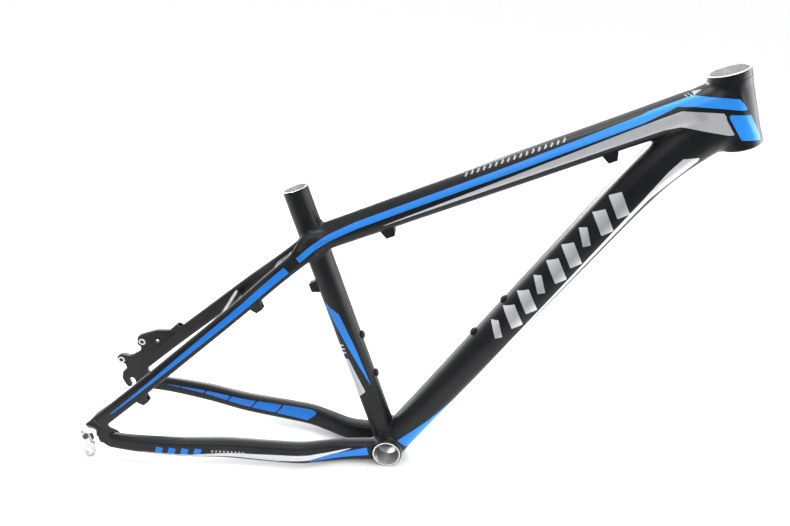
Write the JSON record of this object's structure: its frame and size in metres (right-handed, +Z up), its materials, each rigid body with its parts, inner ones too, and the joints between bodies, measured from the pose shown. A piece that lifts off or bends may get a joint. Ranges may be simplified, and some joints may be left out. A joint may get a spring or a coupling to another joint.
{
  "type": "bicycle frame",
  "caption": "Welded aluminium hardtail mountain bike frame with open dropouts, disc brake tab, replaceable derailleur hanger, cable guides and bottle bosses.",
  "frame": {"origin": "centre of the bottom bracket shell, on the frame's centre plane", "axes": "+X forward, towards the head tube; +Y to the rider's left, along the bottom bracket axis; +Z up as ridden"},
  "size_m": [0.8856, 0.1684, 0.582],
  "materials": {
    "tube_paint": "satin black powder coat over aluminium, with blue and silver bands",
    "stay_paint": "satin black powder coat over aluminium, with blue and silver bands",
    "shell_paint": "satin black powder coat over aluminium, faces and thread bare",
    "dropout_paint": "satin black powder coat over aluminium",
    "guide_paint": "satin black powder coat over aluminium",
    "boss_metal": "semi-gloss black anodised",
    "bare_aluminium": "turned and tumbled, bare",
    "dark_steel": "blackened"
  },
  "bodies": {
    "root": {"head_tube": "tube_paint", "top_tube": "tube_paint", "down_tube": "tube_paint", "seat_tube": "tube_paint", "bottom_bracket_shell": "shell_paint", "chainstay_right": "stay_paint", "chainstay_left": "stay_paint", "seatstay_right": "stay_paint", "seatstay_left": "stay_paint", "yoke_prong_right": "stay_paint", "yoke_prong_left": "stay_paint", "seatstay_gusset": "stay_paint", "seatstay_bridge": "stay_paint", "dropout_right": "dropout_paint", "dropout_left": "dropout_paint", "disc_mount_bushes": "bare_aluminium", "derailleur_hanger": "bare_aluminium", "hanger_bolt": "dark_steel", "cable_guide_top_tube_front": "guide_paint", "cable_guide_top_tube_rear": "guide_paint", "cable_guide_seat_tube": "guide_paint", "cable_guide_seatstay_upper": "guide_paint", "cable_guide_seatstay_lower": "guide_paint", "hose_guide_seatstay": "guide_paint", "bottle_bosses_down_tube": "boss_metal", "bottle_bosses_seat_tube": "boss_metal"}
  },
  "joints": []
}
